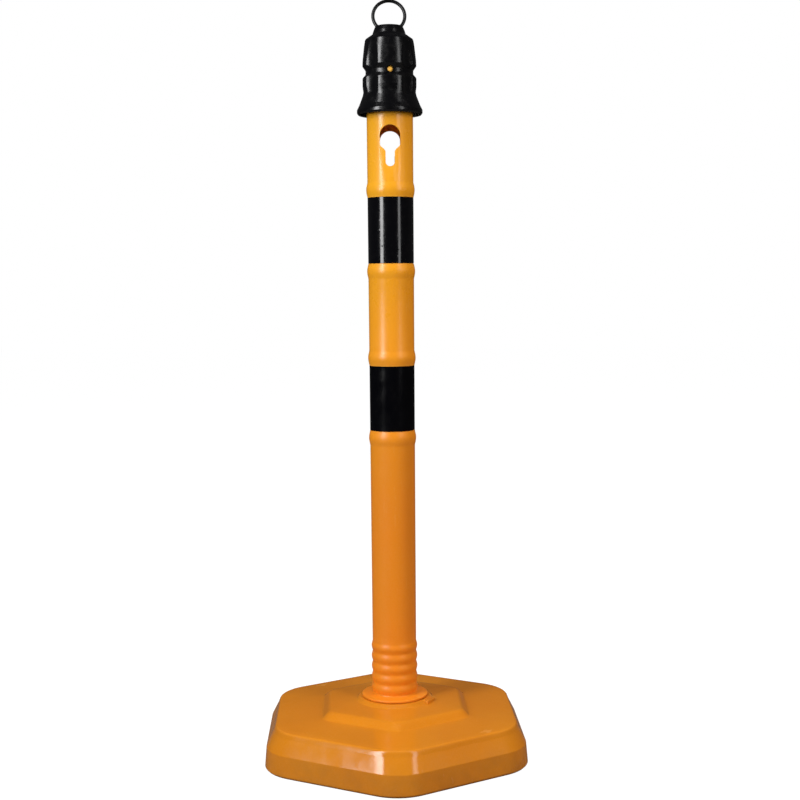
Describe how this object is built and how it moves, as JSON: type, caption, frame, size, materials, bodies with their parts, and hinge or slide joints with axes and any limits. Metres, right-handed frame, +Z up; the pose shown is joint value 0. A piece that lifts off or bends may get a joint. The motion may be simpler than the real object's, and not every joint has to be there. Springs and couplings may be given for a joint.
{
  "type": "delineator post",
  "caption": "Free-standing tubular delineator post with black bands, a chain keyhole and a ringed cap, locked into a sand-filled hexagonal base.",
  "frame": {"origin": "middle of the base's underside, on the floor and on the post's centre line", "axes": "+Z up along the post; -Y is the front, the side with the lock button and one corner of the base; +X to the right seen from the front"},
  "size_m": [0.3612, 0.3978, 1.0466],
  "materials": {
    "base_plastic": "satin moulded, yellow-orange",
    "post_plastic": "glossy moulded, yellow-orange",
    "plug_plastic": "satin moulded, black",
    "cap_plastic": "glossy moulded, black",
    "ring_plastic": "glossy moulded, black",
    "band_film": "glossy film, black",
    "button_plastic": "glossy moulded, light yellow",
    "seal_rubber": "matt",
    "sand": "loose, dry",
    "spring_steel": "drawn strip"
  },
  "bodies": {
    "base": {"base_shell": "base_plastic", "sand_ballast": "sand"},
    "post": {"post_tube": "post_plastic", "band_lower": "band_film", "band_upper": "band_film", "button_spring": "spring_steel", "top_cap": "cap_plastic"},
    "snap_button": {"snap_button": "button_plastic"},
    "top_ring": {"top_ring": "ring_plastic"},
    "plug_seal": {"fill_plug_seal": "seal_rubber"},
    "fill_plug": {"fill_plug": "plug_plastic"}
  },
  "joints": [
    {"name": "post_lock_turn", "type": "hinge", "parent": "base", "child": "post", "pos_m": [0, 0, 0.07], "axis": [0, 0, 1], "range_deg": [0, 60]},
    {"name": "ring_rock", "type": "hinge", "parent": "post", "child": "top_ring", "pos_m": [0, 0, 1.0017], "axis": [1, 0, 0], "range_deg": [0, 24]},
    {"name": "button_press", "type": "slide", "parent": "post", "child": "snap_button", "axis": [0, 1, 0], "range_m": [0, 0.0022], "stiffness_N_per_m": 600, "springref_m": -0.004, "deforming": ["button_spring"]},
    {"name": "plug_rise", "type": "slide", "parent": "base", "child": "plug_seal", "axis": [0, 0, 1], "range_m": [0, 0.0161]},
    {"name": "plug_unscrew", "type": "hinge", "parent": "plug_seal", "child": "fill_plug", "pos_m": [0, 0.152, 0.06], "axis": [0, 0, 1], "range_deg": [0, 1440]}
  ],
  "couplings": [
    {"joint": "plug_rise", "follows": "plug_unscrew", "m_per_rad": 0.00063662}
  ]
}
